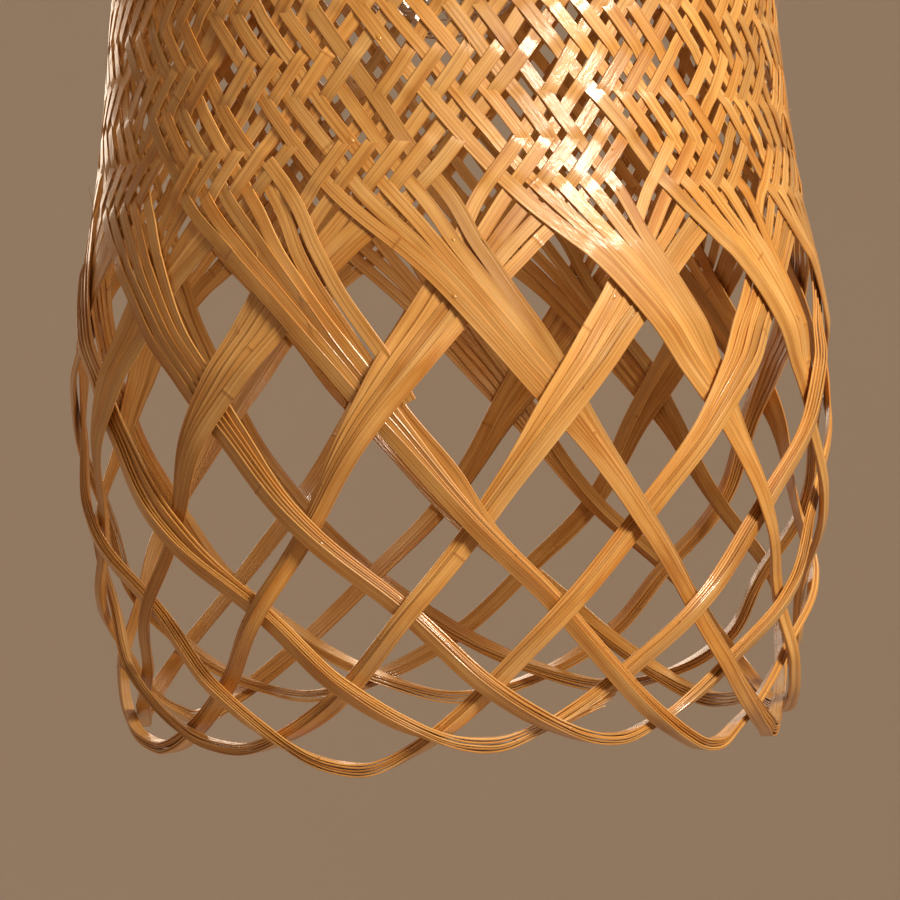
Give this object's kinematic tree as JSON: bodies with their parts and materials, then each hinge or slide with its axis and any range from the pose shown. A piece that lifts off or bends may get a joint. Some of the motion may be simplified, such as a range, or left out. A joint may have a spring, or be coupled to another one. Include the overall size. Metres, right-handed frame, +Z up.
{
  "type": "woven pendant lampshade",
  "caption": "Hanging pendant lamp: a woven bamboo shade, dense twill above an open lattice, clamped by hoops to a lampholder with a screw-in lamp.",
  "frame": {"origin": "centre of the cord grip's top face, where the cord enters", "axes": "+Z up along the cord and the shade's axis; -Y faces the front"},
  "size_m": [0.2564, 0.2556, 0.3983],
  "materials": {
    "bamboo_slats": "varnished satin",
    "bamboo_twill": "varnished satin",
    "bamboo_hoop": "varnished satin",
    "rivet_brass": "aged",
    "carrier_steel": "zinc plated",
    "washer_steel": "zinc plated",
    "holder_plastic": "satin",
    "grip_plastic": "satin",
    "ring_plastic": "satin",
    "ceramic": "glazed steatite, opaque",
    "contact_brass": "bright",
    "clear_glass": "clear",
    "lamp_cap_metal": "bright rolled",
    "lamp_tip_metal": "solder",
    "black_glass": "opaque glossy",
    "filament_coating": "phosphor coating"
  },
  "bodies": {
    "holder": {"bundle_01": "bamboo_slats", "bundle_02": "bamboo_slats", "bundle_03": "bamboo_slats", "bundle_04": "bamboo_slats", "bundle_05": "bamboo_slats", "bundle_06": "bamboo_slats", "bundle_07": "bamboo_slats", "bundle_08": "bamboo_slats", "bundle_09": "bamboo_slats", "bundle_10": "bamboo_slats", "bundle_11": "bamboo_slats", "bundle_12": "bamboo_slats", "bundle_13": "bamboo_slats", "bundle_14": "bamboo_slats", "twill_weave": "bamboo_twill", "neck_hoop_outer": "bamboo_hoop", "neck_hoop_inner": "bamboo_hoop", "hoop_rivets": "rivet_brass", "shade_carrier": "carrier_steel", "holder_body": "holder_plastic", "holder_cap": "holder_plastic", "cord_grip": "grip_plastic", "holder_insert": "ceramic", "screw_shell": "contact_brass", "centre_contact": "contact_brass", "terminal_blocks": "contact_brass", "terminal_screws": "carrier_steel"},
    "lamp_lift": {"bulb_tip": "lamp_tip_metal"},
    "lamp": {"bulb_globe": "clear_glass", "bulb_cap": "lamp_cap_metal", "bulb_insulator": "black_glass", "bulb_stem": "clear_glass", "bulb_filaments": "filament_coating"},
    "washer": {"ring_washer": "washer_steel"},
    "ring": {"shade_ring": "ring_plastic"}
  },
  "joints": [
    {"name": "lamp_travel", "type": "slide", "parent": "holder", "child": "lamp_lift", "axis": [0, 0, -1], "range_m": [0, 0.02172]},
    {"name": "lamp_turn", "type": "hinge", "parent": "lamp_lift", "child": "lamp", "pos_m": [0, 0, -0.072], "axis": [0, 0, -1], "range_deg": [0, 2161]},
    {"name": "ring_travel", "type": "slide", "parent": "holder", "child": "washer", "axis": [0, 0, -1], "range_m": [0, 0.025]},
    {"name": "ring_turn", "type": "hinge", "parent": "washer", "child": "ring", "pos_m": [0, 0, -0.058], "axis": [0, 0, -1], "range_deg": [0, 3601]}
  ],
  "couplings": [
    {"joint": "lamp_turn", "follows": "lamp_travel", "rad_per_m": 1735.7},
    {"joint": "ring_turn", "follows": "ring_travel", "rad_per_m": 2513.3}
  ]
}
